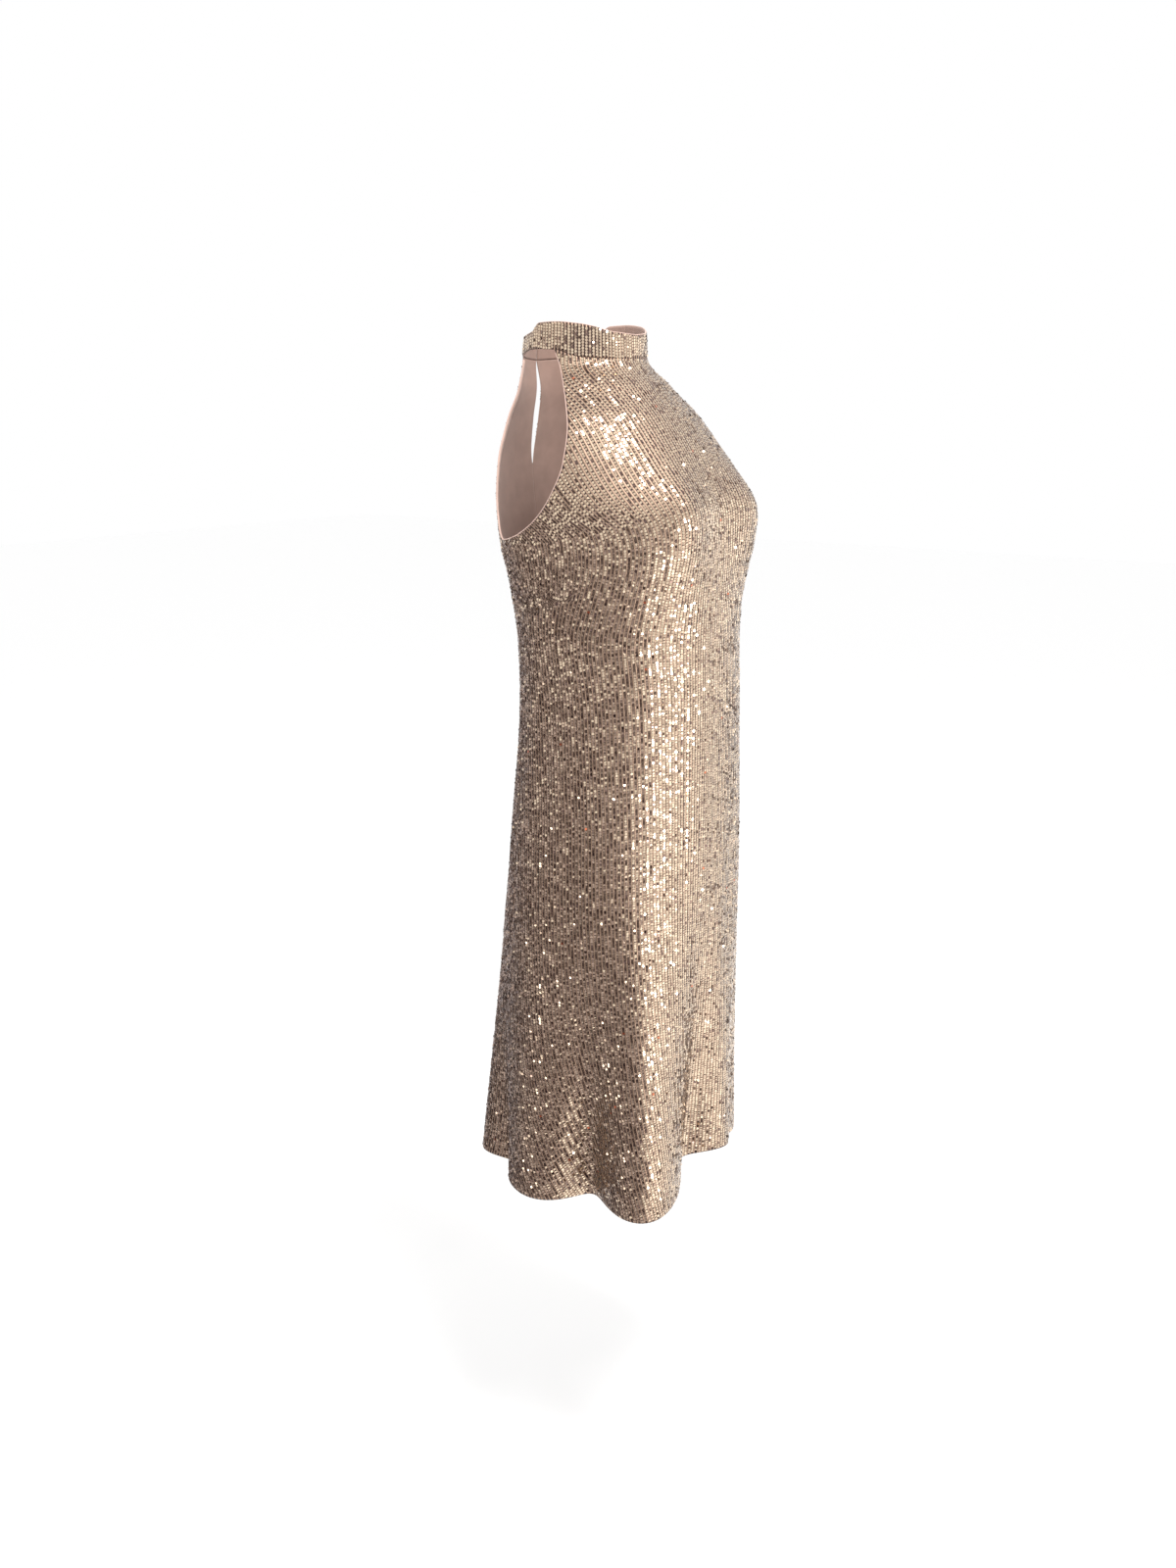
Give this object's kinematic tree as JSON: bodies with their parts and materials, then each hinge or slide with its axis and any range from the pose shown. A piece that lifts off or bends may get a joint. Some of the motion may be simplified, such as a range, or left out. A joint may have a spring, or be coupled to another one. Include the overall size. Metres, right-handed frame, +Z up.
{
  "type": "cocktail dress",
  "caption": "Sleeveless flared midi dress in sequinned knit with a stand collar, deep cut-in armholes, side bust darts and a back neck slit.",
  "frame": {"origin": "centre of the neck at the collar seam, where the wearer's neck holds the dress", "axes": "+Z up the wearer, -Y towards the front of the dress, +X towards the wearer's left"},
  "size_m": [0.368, 0.3348, 1.0836],
  "materials": {
    "sequin_knit": "rose-gold sequins in rows on stretch knit",
    "collar_knit": "the same sequinned knit, doubled",
    "armhole_tape": "smooth pink-beige facing and edge",
    "button": "small glossy button"
  },
  "bodies": {
    "root": {"front": "sequin_knit", "back_left": "sequin_knit", "back_right": "sequin_knit", "collar_front": "collar_knit", "collar_back_left": "collar_knit", "collar_back_right": "collar_knit", "binding_left": "armhole_tape", "binding_right": "armhole_tape", "loop": "armhole_tape", "button": "button"}
  },
  "joints": []
}
